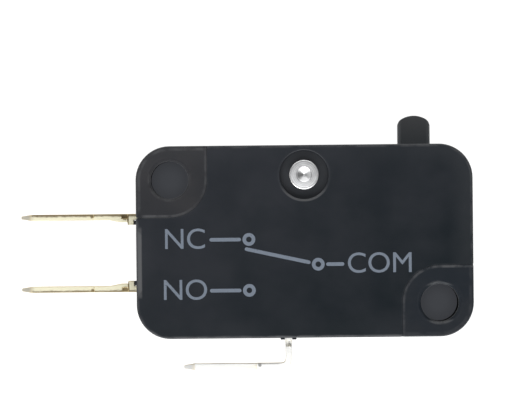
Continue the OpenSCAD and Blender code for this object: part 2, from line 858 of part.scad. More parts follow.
// Cranked lever between the plunger's foot and the spring
module actuating_lever() {
    path = [[0, 0], [lever_heel, 0], [lever_heel + lever_ramp, lever_rise], [lever_end, lever_rise]];
    window_x = lever_hook - hook_hole_d / 2 - hook_land;
    color(steel_color)
        translate([lever_pivot[0], lever_pivot[1], mid_z])
            difference() {
                linear_extrude(blade_w, center = true) {
                    polygon(strip_outline(rounded_path(path, lever_bend_r), lever_t));
                    circle(d = lever_t + 2 * pivot_bead);
                }
                within(window_w, [-cut, -cut], [window_x, lever_rise + cut]);
                translate([lever_hook, lever_rise + cut, 0])
                    rotate([90, 0, 0])
                        cylinder(d = hook_hole_d, h = 2 * cut);
            }
}

// Points of a smooth bend between two ends and their two control points
function bend_points(a, b, c, d) = [
    for (k = [1:hook_steps - 1])
        let (
            s = k / hook_steps,
            q = 1 - s
        )
        q * q * q * a + 3 * q * q * s * b + 3 * q * s * s * c + s * s * s * d
];

// Middle line of the spring wire along X: hook, coil and the same hook turned round
hook_line = concat(
    [[0, -hook_tail, 0], [0, hook_neck, 0]],
    bend_points(
        [0, hook_neck, 0],
        [0, coil_r, 0],
        [coil_start, coil_r, -coil_r],
        [coil_start, coil_r, 0]
    )
);
coil_line = [
    for (k = [0:coil_turns * turn_steps])
        let (
            a = 360 * k / turn_steps
        )
        [coil_start + coil_pitch * k / turn_steps, coil_r * cos(a), coil_r * sin(a)]
];
far_hook_line = [
    for (i = [len(hook_line) - 1:-1:0])
        [spring_l - hook_line[i][0], hook_line[i][1], -hook_line[i][2]]
];
wire_line = concat(hook_line, coil_line, far_hook_line);

function along(p, i) = unit(p[min(i + 1, len(p) - 1)] - p[max(i - 1, 0)]);

// A direction square to the wire, carried from each point of its middle line to the next
function carried(p, i, u) =
    i == len(p)
        ? []
        : let (
            t = along(p, i),
            v = unit(u - (u * t) * t)
        )
        concat([v], carried(p, i + 1, v));

// Tension spring from the blade to the lever, through the windows of both and of the post
module snap_spring() {
    across = carried(wire_line, 0, [1, 0, 0]);
    count = len(wire_line);
    points = [
        for (i = [0:count - 1], k = [0:wire_sides - 1])
            let (
                a = 360 * k / wire_sides,
                up = cross(along(wire_line, i), across[i])
            )
            wire_line[i] + (across[i] * cos(a) + up * sin(a)) * wire_d / 2
    ];
    walls = [
        for (i = [0:count - 2], k = [0:wire_sides - 1])
            let (
                j = (k + 1) % wire_sides,
                here = i * wire_sides,
                next = here + wire_sides
            )
            each [[here + k, next + k, next + j], [here + k, next + j, here + j]]
    ];
    near_end = [for (k = [0:wire_sides - 1]) k];
    far_end = [for (k = [wire_sides - 1:-1:0]) (count - 1) * wire_sides + k];
    color(steel_color)
        translate([spring_start[0], spring_start[1], mid_z])
            rotate(spring_angle)
                polyhedron(points, concat(walls, [near_end, far_end]));
}

case();
cover();
cover_rivet();
plunger();
actuating_lever();
contact_blade();
moving_contact();
snap_spring();
normally_closed_terminal();
normally_open_terminal();
common_terminal();
normally_closed_contact();
normally_open_contact();
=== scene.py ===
# %% [markdown]
# A micro switch is a flat plastic box, a button that snaps a contact over, and three stamped tabs. The
# solids come from a imported CAD model, and this lesson only dresses them: softer edges, finishes, print,
# light and a camera. We load the model first; the boxes of its parts are read from it where needed.

# %% Load the imported switch
import json
import math

import bmesh
import bpy
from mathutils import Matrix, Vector


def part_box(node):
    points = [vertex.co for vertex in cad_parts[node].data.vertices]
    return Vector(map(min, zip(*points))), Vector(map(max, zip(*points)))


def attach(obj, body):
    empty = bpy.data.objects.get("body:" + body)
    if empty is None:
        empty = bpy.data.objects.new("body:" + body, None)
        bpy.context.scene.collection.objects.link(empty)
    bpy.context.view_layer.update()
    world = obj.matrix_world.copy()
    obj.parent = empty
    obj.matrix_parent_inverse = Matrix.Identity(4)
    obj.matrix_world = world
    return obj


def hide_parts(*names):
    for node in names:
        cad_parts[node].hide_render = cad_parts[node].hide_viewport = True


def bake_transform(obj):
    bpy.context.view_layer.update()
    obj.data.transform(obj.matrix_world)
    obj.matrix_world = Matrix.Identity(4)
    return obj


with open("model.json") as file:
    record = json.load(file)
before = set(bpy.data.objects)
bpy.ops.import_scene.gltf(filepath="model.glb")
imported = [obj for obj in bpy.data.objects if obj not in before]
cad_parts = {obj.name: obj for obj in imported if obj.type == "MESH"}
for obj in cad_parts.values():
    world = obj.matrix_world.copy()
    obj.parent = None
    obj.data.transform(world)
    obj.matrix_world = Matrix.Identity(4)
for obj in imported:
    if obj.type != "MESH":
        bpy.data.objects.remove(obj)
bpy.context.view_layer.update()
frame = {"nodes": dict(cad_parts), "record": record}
nodes = frame["nodes"]
MM = 0.001

# %% [markdown]
# The photograph looks straight down on the lying switch, from far away: the walls don't show. A long lens
# at a distance does that. The lens follows from the scale, in pixels per millimetre at the front face.
# The switch lies turned by half a degree, so the camera is turned back by as much.

# %% Camera straight above the cover
PHOTO_WIDTH, PHOTO_HEIGHT = 516, 419
PIXELS_PER_MM = 12.13
BODY_CENTRE_PIXEL = (304.7, 241.3)
TURN = math.radians(0.57)
CAMERA_DISTANCE = 1.2

face_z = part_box("cover")[1].z
aside = (PHOTO_WIDTH / 2 - BODY_CENTRE_PIXEL[0]) / PIXELS_PER_MM
above = (BODY_CENTRE_PIXEL[1] - PHOTO_HEIGHT / 2) / PIXELS_PER_MM

lens = bpy.data.cameras.new("photo_camera")
lens.sensor_fit = "HORIZONTAL"
lens.lens = PIXELS_PER_MM / MM * CAMERA_DISTANCE * lens.sensor_width / PHOTO_WIDTH
lens.clip_start = 0.05
lens.clip_end = 20.0
camera = bpy.data.objects.new("photo_camera", lens)
camera.location = (
    (aside * math.cos(TURN) + above * math.sin(TURN)) * MM,
    (above * math.cos(TURN) - aside * math.sin(TURN)) * MM,
    face_z + CAMERA_DISTANCE,
)
camera.rotation_euler = (0.0, 0.0, -TURN)
bpy.context.scene.collection.objects.link(camera)
bpy.context.scene.camera = camera
print("lens", round(lens.lens, 1), "mm, camera over", [round(v / MM, 2) for v in camera.location])

# %% [markdown]
# Shader maths reads best as maths. One small class wraps an output socket: plus, minus and times add the
# Math nodes, or Vector Math nodes where a colour or a vector takes part. Every other node comes from its
# one method make, which sets the node up first and then fills or links its inputs.


# %% A socket that can be written into sums
class Wire:
    """An output socket of a node tree; with no socket it is a loose end that can still make nodes."""

    def __init__(self, tree, socket=None):
        self.tree = tree
        self.socket = socket

    def make(self, kind, settings=None, inputs=None, out=0):
        node = self.tree.nodes.new(kind)
        for name, value in (settings or {}).items():
            setattr(node, name, value)
        for name, value in (inputs or {}).items():
            if isinstance(value, Wire):
                self.tree.links.new(value.socket, node.inputs[name])
            else:
                node.inputs[name].default_value = value
        return Wire(self.tree, node.outputs[out])

    def join(self, other, operation, other_first=False):
        pair = [other, self] if other_first else [self, other]
        wide = any(isinstance(p, Wire) and p.socket.type in ("VECTOR", "RGBA") for p in pair)
        if wide:
            pair = [(p,) * 3 if isinstance(p, (int, float)) else p for p in pair]
        kind = "ShaderNodeVectorMath" if wide else "ShaderNodeMath"
        return self.make(kind, {"operation": operation}, {0: pair[0], 1: pair[1]})

    def __add__(self, other):
        return self.join(other, "ADD")

    def __radd__(self, other):
        return self.join(other, "ADD", True)

    def __sub__(self, other):
        return self.join(other, "SUBTRACT")

    def __rsub__(self, other):
        return self.join(other, "SUBTRACT", True)

    def __mul__(self, other):
        return self.join(other, "MULTIPLY")

    def __rmul__(self, other):
        return self.join(other, "MULTIPLY", True)

    def __pow__(self, other):
        return self.join(other, "POWER")

    def __abs__(self):
        return self.make("ShaderNodeMath", {"operation": "ABSOLUTE"}, {0: self})

    def at_least(self, other):
        return self.join(other, "MAXIMUM")

    def at_most(self, other):
        return self.join(other, "MINIMUM")


# %% [markdown]
# Every finish needs the same start: a Principled shader and the place on the piece in millimetres. Object
# coordinates stay with a piece when it moves, so the grain doesn't swim. A few short helpers cover what
# is used all over: one axis of a vector, a noise, a smooth step between two limits and a mix of two
# colours.


# %% Start of a finish, and its helpers
def new_finish(name, fixed):
    """A material with constants set on its shader; returns it and the place in millimetres."""
    material = bpy.data.materials.new(name)
    material.use_nodes = True
    shader = material.node_tree.nodes["Principled BSDF"]
    for socket, value in fixed.items():
        shader.inputs[socket].default_value = value
    place = Wire(material.node_tree).make("ShaderNodeTexCoord", out="Object") * (1.0 / MM)
    return material, place


def feed(material, socket, wire):
    shader = material.node_tree.nodes["Principled BSDF"]
    material.node_tree.links.new(wire.socket, shader.inputs[socket])


def axis(vector, letter):
    return vector.make("ShaderNodeSeparateXYZ", inputs={"Vector": vector}, out=letter)


def noise(place, scale, detail=2.0, stretch=(1.0, 1.0, 1.0)):
    settings = {"Vector": place * stretch, "Scale": scale, "Detail": detail, "Roughness": 0.55}
    return place.make("ShaderNodeTexNoise", {"normalize": True}, settings)


def step(wire, low, high):
    limits = {"Value": wire, "From Min": low, "From Max": high}
    return wire.make("ShaderNodeMapRange", {"interpolation_type": "SMOOTHSTEP"}, limits)


def mix(factor, first, second):
    pair = [c if isinstance(c, Wire) else (*c, 1.0) for c in (first, second)]
    sockets = {0: factor, 6: pair[0], 7: pair[1]}
    return factor.make("ShaderNodeMix", {"data_type": "RGBA"}, sockets, 2)


def bump(material, height, depth_mm):
    """Relief of that depth where height goes from 0 to 1."""
    sockets = {"Height": height, "Strength": 1.0, "Distance": depth_mm * MM}
    feed(material, "Normal", height.make("ShaderNodeBump", {}, sockets))


print("helpers ready")

# %% [markdown]
# Many things follow the housing's outline and its two mounting holes: the light under it, the rubbed
# edges, the choice of edges to round. The outline is a rounded rectangle, and the distance to one is a
# short sum, which we write once for numbers and once for shader sockets. The record gives the places of
# the holes.

# %% Distances to the housing's outline and to its holes
outline_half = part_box("cover")[1].xy / MM
OUTLINE_CORNER = 2.8
mounts = {m["name"]: m for m in frame["record"]["mounts"]}
hole_axes = [Vector(m["pos_m"]).xy / MM for m in mounts.values() if m["kind"] == "bore"]
hole_r = mounts["upper_left_hole"]["dims"]["r_mm"]


def outline_distance(x, y):
    """How many millimetres a point lies outside the housing's outline, negative inside it."""
    over_x = abs(x) - (outline_half.x - OUTLINE_CORNER)
    over_y = abs(y) - (outline_half.y - OUTLINE_CORNER)
    corner = math.hypot(max(over_x, 0.0), max(over_y, 0.0))
    return corner + min(max(over_x, over_y), 0.0) - OUTLINE_CORNER


def outline_distance_wire(place):
    over_x = abs(axis(place, "X")) - (outline_half.x - OUTLINE_CORNER)
    over_y = abs(axis(place, "Y")) - (outline_half.y - OUTLINE_CORNER)
    corner = (over_x.at_least(0.0) ** 2.0 + over_y.at_least(0.0) ** 2.0) ** 0.5
    return corner + over_x.at_least(over_y).at_most(0.0) - OUTLINE_CORNER


def radius_about(place, point):
    offset = place - (*point, 0.0)
    return (axis(offset, "X") ** 2.0 + axis(offset, "Y") ** 2.0) ** 0.5


def radius_about_holes(place):
    return radius_about(place, hole_axes[0]).at_most(radius_about(place, hole_axes[1]))


print("outline in mm:", [round(2 * v, 2) for v in outline_half], "centre lies", outline_distance(0.0, 0.0))

# %% [markdown]
# The switch lies on a light table, as small parts often do in a catalogue: the plain pale floor glows
# enough to burn out to white, with no shadow. Under the housing it hardly glows, or the two mounting
# holes would be bright. What glows in the holes is painted light for the shaded floor at their bottom:
# strongest in their middle, with painted shade towards their rims.

# %% Light table
FLOOR_SIZE = 6.0
FLOOR_DROP = 0.03 * MM
FLOOR_GREY = (0.3, 0.3, 0.3, 1.0)
TABLE_GLOW = 0.9
GLOW_EDGE = (-1.2, -0.4)
HOLE_GLOW = (0.049, 0.052, 0.059)
HOLE_RIM_SHADE = 0.78
HOLE_MIDDLE = 0.4

floor_mesh = bpy.data.meshes.new("floor")
half = FLOOR_SIZE / 2
corners = [(x * half, y * half, -FLOOR_DROP) for x, y in ((-1, -1), (1, -1), (1, 1), (-1, 1))]
floor_mesh.from_pydata(corners, [], [(0, 1, 2, 3)])
floor = bpy.data.objects.new("floor", floor_mesh)
bpy.context.scene.collection.objects.link(floor)
floor_paint, floor_place = new_finish(
    "light_table",
    {
        "Base Color": FLOOR_GREY,
        "Roughness": 0.7,
        "Specular IOR Level": 0.2,
        "Emission Strength": 1.0,
    },
)
outside = step(outline_distance_wire(floor_place), *GLOW_EDGE)
# Painted light in the holes, fading to painted shade towards each rim.
under_hole = 1.0 - step(radius_about_holes(floor_place), HOLE_MIDDLE, hole_r + 0.1)
painted_hole_glow = mix(under_hole, [c * HOLE_RIM_SHADE for c in HOLE_GLOW], HOLE_GLOW)
feed(floor_paint, "Emission Color", mix(outside, painted_hole_glow, (TABLE_GLOW,) * 3))
floor_mesh.materials.append(floor_paint)
print("floor of", FLOOR_SIZE, "m glows at", TABLE_GLOW)

# %% [markdown]
# The room is white and nothing in it is seen directly, but glossy pieces mirror it. It is brightest low
# on the common terminal's side, less so on the left and beyond the plunger, and dim overhead and to the
# right. A black satin lid mirrors what is overhead, so a dim ceiling keeps it black, and the dim side
# gives the bright rivet its dark facet. A sky texture would give no such control, so the strength is a
# sum of the direction's axes.

# %% Room
COMMON_SIDE_LIGHT = 1.5
PLUNGER_SIDE_LIGHT = 0.85
LEFT_LIGHT = 1.15
RIGHT_LIGHT = 0.26
CEILING_BY_COMMON = 0.2
CEILING_BY_PLUNGER = 0.3
LONG_SIDES_MEET = (-0.5, 0.5)
CEILING_HALVES_MEET = (-0.4, 0.4)
RIGHT_STARTS = (0.68, 0.9)
LEFT_STARTS = (0.72, 0.93)
CEILING_STARTS = (0.3, 0.9)

world = bpy.data.worlds.new("soft_room")
world.use_nodes = True
bpy.context.scene.world = world
direction = Wire(world.node_tree).make("ShaderNodeTexCoord", out="Generated")
to_plunger = step(axis(direction, "Y"), *LONG_SIDES_MEET)
to_right = step(axis(direction, "X"), *RIGHT_STARTS)
to_left = step(axis(direction, "X") * -1.0, *LEFT_STARTS)
low_light = COMMON_SIDE_LIGHT + to_plunger * (PLUNGER_SIDE_LIGHT - COMMON_SIDE_LIGHT)
low_light = low_light * (1.0 - to_right) * (1.0 - to_left)
low_light = low_light + RIGHT_LIGHT * to_right + LEFT_LIGHT * to_left
overhead = step(axis(direction, "Z"), *CEILING_STARTS)
by_plunger = step(axis(direction, "Y"), *CEILING_HALVES_MEET)
ceiling = CEILING_BY_COMMON + by_plunger * (CEILING_BY_PLUNGER - CEILING_BY_COMMON)
room_light = low_light * (1.0 - overhead) + ceiling * overhead
backdrop = world.node_tree.nodes["Background"]
world.node_tree.links.new(room_light.socket, backdrop.inputs["Strength"])
backdrop.inputs["Color"].default_value = (1.0, 1.0, 1.0, 1.0)
print("room light from", COMMON_SIDE_LIGHT, "to", CEILING_BY_COMMON)

# %% [markdown]
# Two wide lamps give the light its direction. The stronger one stands on the common terminal's side and
# the weaker one beyond the plunger, so edges that face the two long sides differ in brightness. They are
# wide because a small lamp would leave a hard glint on the rivet.

# %% Lamps
LAMP_ASIDE = -0.05
LAMP_AWAY = 0.5
LAMP_HEIGHT = 0.34
PLUNGER_LAMP_SIZE = (0.9, 0.5)
PLUNGER_LAMP_WATTS = 1.75
COMMON_LAMP_SIZE = (1.0, 0.6)
COMMON_LAMP_WATTS = 5.5


def soft_lamp(name, place, size, watts):
    """A wide rectangular lamp that looks at the middle of the switch."""
    data = bpy.data.lights.new(name, "AREA")
    data.shape = "RECTANGLE"
    data.size, data.size_y = size
    data.energy = watts
    lamp = bpy.data.objects.new(name, data)
    lamp.location = place
    lamp.rotation_euler = (-Vector(place)).to_track_quat("-Z", "Y").to_euler()
    lamp.visible_camera = False
    bpy.context.scene.collection.objects.link(lamp)


plunger_lamp_place = (LAMP_ASIDE, LAMP_AWAY, LAMP_HEIGHT)
common_lamp_place = (LAMP_ASIDE, -LAMP_AWAY, LAMP_HEIGHT)
soft_lamp("plunger_side_lamp", plunger_lamp_place, PLUNGER_LAMP_SIZE, PLUNGER_LAMP_WATTS)
soft_lamp("common_side_lamp", common_lamp_place, COMMON_LAMP_SIZE, COMMON_LAMP_WATTS)
bpy.context.scene.view_settings.view_transform = "Standard"

# %% [markdown]
# Real edges are never perfectly sharp: a mould or a punch leaves a small radius, and that radius is what
# draws the thin bright lines round the pads and the lid. On most pieces all edges get the same radius, so
# modifiers on the CAD solid do it: Weld joins the corners that the file format splits, a planar Decimate
# merges each flat face, and Bevel rounds the edges that are left. Weighted normals keep the flats flat.

# %% Round the edges of a CAD piece with modifiers
SHARP = math.radians(28)
SAME_FACE = math.radians(0.5)
SAME_PLACE = 1e-7
EDGE_SEGMENTS = 2


def keep_flats_flat(piece, keep_sharp):
    normals = piece.modifiers.new("keep_flats_flat", "WEIGHTED_NORMAL")
    normals.keep_sharp = keep_sharp


def soften(name, radius_mm):
    piece = nodes[name]
    weld = piece.modifiers.new("join_split_corners", "WELD")
    weld.merge_threshold = SAME_PLACE
    flat = piece.modifiers.new("merge_flat_faces", "DECIMATE")
    flat.decimate_type = "DISSOLVE"
    flat.angle_limit = SAME_FACE
    edge = piece.modifiers.new("round_the_edges", "BEVEL")
    edge.width = radius_mm * MM
    edge.segments = EDGE_SEGMENTS
    edge.limit_method = "ANGLE"
    edge.angle_limit = SHARP
    keep_flats_flat(piece, False)


EDGE_RADII = {
    "plunger": 0.08,
    "normally_closed_terminal": 0.05,
    "normally_open_terminal": 0.05,
    "common_terminal": 0.05,
    "actuating_lever": 0.03,
    "contact_blade": 0.03,
    "moving_contact": 0.05,
    "normally_closed_contact": 0.06,
    "normally_open_contact": 0.06,
}
for name, radius in EDGE_RADII.items():
    soften(name, radius)
print("softened", len(EDGE_RADII), "pieces")

# %% [markdown]
# The case and the lid are different. Their outer edges have a wide, rubbed radius, while the rims of the
# small holes are crisp, and a modifier would shrink every radius to what the smallest edge can take. So
# we copy the CAD mesh into a new piece and round it in passes: each pass has a radius and a test that
# says which edges it takes, and the edges that no pass takes are shaded as sharp ones. The CAD node is
# hidden, and the new piece is attached to the housing's body.
#
# The case's corner pads come up through cut-outs of the lid. The CAD model leaves a thin gap there, as
# real parts need one, and light from the table would shine through it. So the pads' walls move out to the
# lid first, by less than the width of a hair.

# %% A piece that is rounded in passes
ROUND_SEGMENTS = 4
NEAR = 0.02
PAD_REACH = 3.05
JOINT = 0.043
front = face_z / MM
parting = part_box("common_terminal")[1].z / MM + 0.1


def close_joint(form):
    """Moves the pads' walls out to the lid."""
    for vert in form.verts:
        x, y, z = vert.co / MM
        for point, sign in zip(hole_axes, (1.0, -1.0)):
            away = Vector((max((x - point.x) * sign, 0.0), min((y - point.y) * sign, 0.0), 0.0))
            if z > parting - NEAR and abs(away.length - PAD_REACH) < NEAR:
                vert.co += away.normalized() * sign * JOINT * MM


def piece_from(form, name):
    """Turns a form into a smooth piece of the scene."""
    mesh = bpy.data.meshes.new(name)
    form.to_mesh(mesh)
    form.free()
    mesh.shade_smooth()
    piece = bpy.data.objects.new(name, mesh)
    bpy.context.scene.collection.objects.link(piece)
    return piece


def rounded_piece(node, name, rounds, fit=None):
    """A copy of a CAD piece, rounded in passes of a radius in mm and a test on an edge's two ends in mm."""
    form = bmesh.new()
    form.from_mesh(nodes[node].data)
    bmesh.ops.remove_doubles(form, verts=form.verts, dist=SAME_PLACE)
    if fit:
        fit(form)
    bmesh.ops.dissolve_limit(form, angle_limit=SAME_FACE, verts=form.verts, edges=form.edges)
    for radius, test in rounds:
        sharp = [e for e in form.edges if e.is_manifold and e.is_convex and e.calc_face_angle() > SHARP]
        chosen = [e for e in sharp if test(e.verts[0].co / MM, e.verts[1].co / MM)]
        bmesh.ops.bevel(
            form,
            geom=chosen,
            offset=radius * MM,
            offset_type="OFFSET",
            segments=ROUND_SEGMENTS,
            profile=0.5,
            affect="EDGES",
            clamp_overlap=True,
        )
    bmesh.ops.dissolve_degenerate(form, dist=SAME_PLACE, edges=form.edges)
    piece = piece_from(form, name)
    piece.data.set_sharp_from_angle(angle=SHARP)
    keep_flats_flat(piece, True)
    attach(piece, "housing")
    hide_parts(node)
    return piece


print("parting at", round(parting, 2), "mm, front face at", round(front, 2), "mm")

# %% [markdown]
# The tests ask where an edge lies: on the front, on the back, on the parting line between case and lid,
# or near a hole. Picking edges by their numbers would be shorter, but the numbers change whenever the CAD
# model is packed again, and the places don't.

# %% Which edges each pass takes
OUTER_ROUND = 0.16
PAD_ROUND = 0.03
HOLE_ROUND = 0.06
RECESS_ROUND = 0.14
PARTING_ROUND = 0.08
PAD_CLEAR = 2.4
rivet_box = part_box("cover_rivet")
rivet_axis = (rivet_box[0].xy + rivet_box[1].xy) / 2 / MM


def from_hole(p):
    return min((p.xy - axis_point).length for axis_point in hole_axes)


def both_at(a, b, level):
    return abs(a.z - level) < NEAR and abs(b.z - level) < NEAR


def upright(a, b):
    return (a.xy - b.xy).length < NEAR


def on_outline(a, b):
    return abs(outline_distance(*a.xy)) < NEAR and abs(outline_distance(*b.xy)) < NEAR


def outer_edge(a, b):
    """Edges of the front face on the outline, and the short upright ones where a pad meets it."""
    short = upright(a, b) and min(a.z, b.z) > parting - NEAR
    return on_outline(a, b) and (both_at(a, b, front) or short)


def pad_edge(a, b):
    """The other edges of the front face, apart from the rims of the holes and the rivet's recess."""
    middle = (a + b) / 2
    clear = from_hole(middle) > PAD_CLEAR and (middle.xy - rivet_axis).length > PAD_CLEAR
    return clear and both_at(a, b, front)


def hole_rim(a, b):
    return from_hole(a) < PAD_CLEAR and (max(a.z, b.z) > front - NEAR or min(a.z, b.z) < NEAR)


def recess_rim(a, b):
    return both_at(a, b, front) and (a.xy - rivet_axis).length < PAD_CLEAR


def back_edge(a, b):
    return both_at(a, b, 0.0) and on_outline(a, b)


def parting_edge(a, b):
    return both_at(a, b, parting) and on_outline(a, b)


case_rounds = [
    (OUTER_ROUND, outer_edge),
    (PAD_ROUND, pad_edge),
    (OUTER_ROUND, back_edge),
    (HOLE_ROUND, hole_rim),
    (PARTING_ROUND, parting_edge),
]
cover_rounds = [
    (OUTER_ROUND, outer_edge),
    (RECESS_ROUND, recess_rim),
    (PARTING_ROUND, parting_edge),
]
case_shell = rounded_piece("case", "case_shell", case_rounds, close_joint)
cover_lid = rounded_piece("cover", "cover_lid", cover_rounds)
print("case faces:", len(case_shell.data.polygons), "lid faces:", len(cover_lid.data.polygons))

# %% [markdown]
# The housing is moulded from glass-filled black plastic. From near by it isn't one black: it has a very
# fine grain from the mould, faint cloudy flow marks, and edges that handling has rubbed to grey and that
# catch the light as thin pale lines. Painting that by hand would need a texture. Here the distance to an
# edge is a sum in the shader, and a thin band of it is the pale line, partly rubbed wear and partly
# painted highlight: along the outline, between the lid and the pads, and round the holes.

# %% Bands along the rubbed edges and the painted highlights
ARC_FADES = (0.65, 0.0)


def band(distance, middle, half_width):
    """1 on a line at that distance, fading to 0 within half_width on both sides."""
    return 1.0 - step(abs(distance - middle), half_width * 0.3, half_width)


def pad_wear_and_highlight(place, middle, half_width):
    """A pale line along the edges of the corner pads, partly rubbed wear and partly painted highlight, half
    as strong where it runs along Y, where the edge faces away from the light.
    """
    lines = []
    for point, sign, arc_fade in zip(hole_axes, (1.0, -1.0), ARC_FADES):
        across = ((axis(place, "X") - point.x) * sign).at_least(0.0)
        down = ((point.y - axis(place, "Y")) * sign).at_least(0.0)
        outwards = (across ** 2.0 + down ** 2.0) ** 0.5 - PAD_REACH
        on_arc = step(across.at_most(down), 0.7, 1.5)
        strength = (step(down, 0.5, PAD_REACH) * 0.5 + 0.5) * (1.0 - on_arc * arc_fade)
        lines.append(band(outwards, middle, half_width) * strength)
    return lines[0].at_least(lines[1])


print("lines round", len(hole_axes), "pads, the first faded by", ARC_FADES[0], "on its arc")

# %% [markdown]
# One recipe makes all three black plastics. A slow noise clouds the colour and the gloss, a stretched one
# is the flow of the melt, and a fine one is the grain, which also feeds the bump. The colour is painted a
# little lighter from the lower right to the upper left: a painted sheen, as if more light fell from the
# upper left. Each piece adds two tests of its own: where it is paled, by rubbed wear and by painted light,
# which a patchy noise breaks up, and where its gloss is dulled.

# %% Moulded plastic
CLOUD_SCALE = 0.22
FLOW_SCALE = 0.5
FLOW_STRETCH = (0.25, 1.0, 1.0)
GRAIN_SCALE = 11.0
PATCH_SCALE = 1.1
GRAIN_DEPTH = 0.006
PAINTED_SHEEN_DRIFT = (-9.0, 11.0)
# Pale grey of rubbed wear and of painted highlight, sheen and light.
WORN_AND_LIT_GREY = (0.07, 0.072, 0.076)


def moulded_plastic(name, dark, light, roughness, wear_and_light_test, dulling=None):
    """Satin plastic; the mask function takes the place and a patchy mask, and says how far a point is
    paled, by rubbed wear and by painted highlight, sheen and light.
    """
    material, place = new_finish(name, {"IOR": 1.5, "Specular IOR Level": 0.29})
    cloud = noise(place, CLOUD_SCALE, 3.0)
    flow = noise(place, FLOW_SCALE, 3.0, FLOW_STRETCH)
    grain = noise(place, GRAIN_SCALE, 2.0)
    # Painted sheen: lighter towards the upper left, as if more light fell from there.
    painted_sheen = step(axis(place, "Y") * 0.8 - axis(place, "X") * 0.5, *PAINTED_SHEEN_DRIFT)
    colour = mix(painted_sheen * 0.65 + step(cloud, 0.3, 0.7) * 0.35, dark, light)
    rough = roughness + (cloud - 0.5) * 0.12 + (flow - 0.5) * 0.1 + (grain - 0.5) * 0.08
    wear_and_light = wear_and_light_test(place, step(noise(place, PATCH_SCALE, 4.0), 0.3, 0.62))
    rough = rough - wear_and_light * 0.08
    if dulling:
        rough = rough + dulling(place) * 0.5
    # Paled by rubbed wear and by painted highlight, sheen and light.
    feed(material, "Base Color", mix(wear_and_light, colour, WORN_AND_LIT_GREY))
    feed(material, "Roughness", rough)
    bump(material, grain * 0.7 + flow * 0.3, GRAIN_DEPTH)
    return material


print("grain", GRAIN_DEPTH, "mm deep")

# %% [markdown]
# On the case, pale lines run along the outline and the pads, partly rubbed wear and partly painted
# highlight, and painted highlights run round the rims of the holes. They aren't alike all round: the
# upper edge's line is painted stronger than the lower one's, the upper hole's rim on its lower left and
# the lower hole's at its top and bottom, and elsewhere the rims are dulled. The walls of the holes are
# painted pale grey, painted light that lifts the shade inside them, and the upper pad gets a painted
# sheen, paler towards its edge.


# %% Where the case is rubbed, and where light is painted on it
def above_middle(place):
    """1 round the upper hole and 0 round the lower one."""
    return step(axis(place, "Y"), -0.5, 0.5)


def hole_ends(place):
    """1 on the topmost and the lowest part of a hole's rim."""
    return step(abs(abs(axis(place, "Y")) - hole_axes[0].y), 1.3, 1.6)


def dulled_rims(place):
    """The top of the upper hole's rim, and the two sides of the lower one's."""
    upper = above_middle(place)
    north = step(axis(place, "Y") - hole_axes[0].y, 0.0, 0.7)
    rim = band(radius_about_holes(place), hole_r + 0.1, 0.3)
    return rim * (upper * north + (1.0 - upper) * (1.0 - hole_ends(place)))


def case_wear_and_light(place, patchy):
    on_front = step(axis(place, "Z"), front - 0.4, front - 0.1)
    inwards = outline_distance_wire(place)
    # Partly rubbed wear, partly painted highlight, painted stronger on the upper edge.
    outline = band(inwards, -0.26, 0.18) * (step(axis(place, "Y"), -2.0, 2.0) * 0.35 + 0.2)
    # Painted sheen: the upper pad is paler towards its edge.
    painted_edge_sheen = step(inwards, -2.0, -0.2) * step(axis(place, "Y"), 4.0, 7.0) * on_front * 0.1
    pads = pad_wear_and_highlight(place, -0.08, 0.15) * on_front * 0.8
    from_hole_axis = radius_about_holes(place)
    upper = above_middle(place)
    lower_left = step(sum(hole_axes[0]) - axis(place, "X") - axis(place, "Y"), 0.8, 2.2)
    strength = upper * lower_left * 0.4 + (1.0 - upper) * hole_ends(place) * 0.62 + 0.06
    # Painted highlights on the rims of the holes.
    rim_highlights = band(from_hole_axis, hole_r + 0.12, 0.2) * strength
    # Painted light on the walls of the holes, lifting their shade.
    painted_bore_light = (1.0 - step(from_hole_axis, hole_r - 0.01, hole_r + 0.04)) * 0.9
    return (outline.at_least(pads).at_least(rim_highlights) * patchy).at_least(painted_bore_light).at_least(painted_edge_sheen)


CASE_DARK = (0.0042, 0.0078, 0.0128)
CASE_LIGHT = (0.023, 0.0225, 0.025)
case_plastic = moulded_plastic("case_plastic", CASE_DARK, CASE_LIGHT, 0.5, case_wear_and_light, dulled_rims)
case_shell.data.materials.append(case_plastic)
print("case in", case_plastic.name)

# %% [markdown]
# The lid has pale lines along its outline and its pads, partly rubbed wear and partly painted highlight,
# and a painted highlight round the rivet's recess, strongest on its lower lip. The recess's floor is
# painted paler, painted light that lifts its shade, more on its upper side. Between the side terminals
# its edge has a bevel, whose pale upright line is a painted highlight. The whole lid gets a painted
# sheen, a little paler towards its edge, most of all on the right. The plunger is painted paler towards
# its crown, a painted sheen.

# %% Where the lid and the plunger are rubbed, and where light is painted on them
RECESS_RIM = 2.1
BEVEL_X = -13.62
bevel_top = mounts["normally_closed_tab"]["pos_m"][1] / MM - 0.7
bevel_bottom = mounts["normally_open_tab"]["pos_m"][1] / MM - 0.95


def lower_side(place, point):
    """0 above a point and 1 below it, seen from the front."""
    return step(point.y - axis(place, "Y"), 0.7, 1.9)


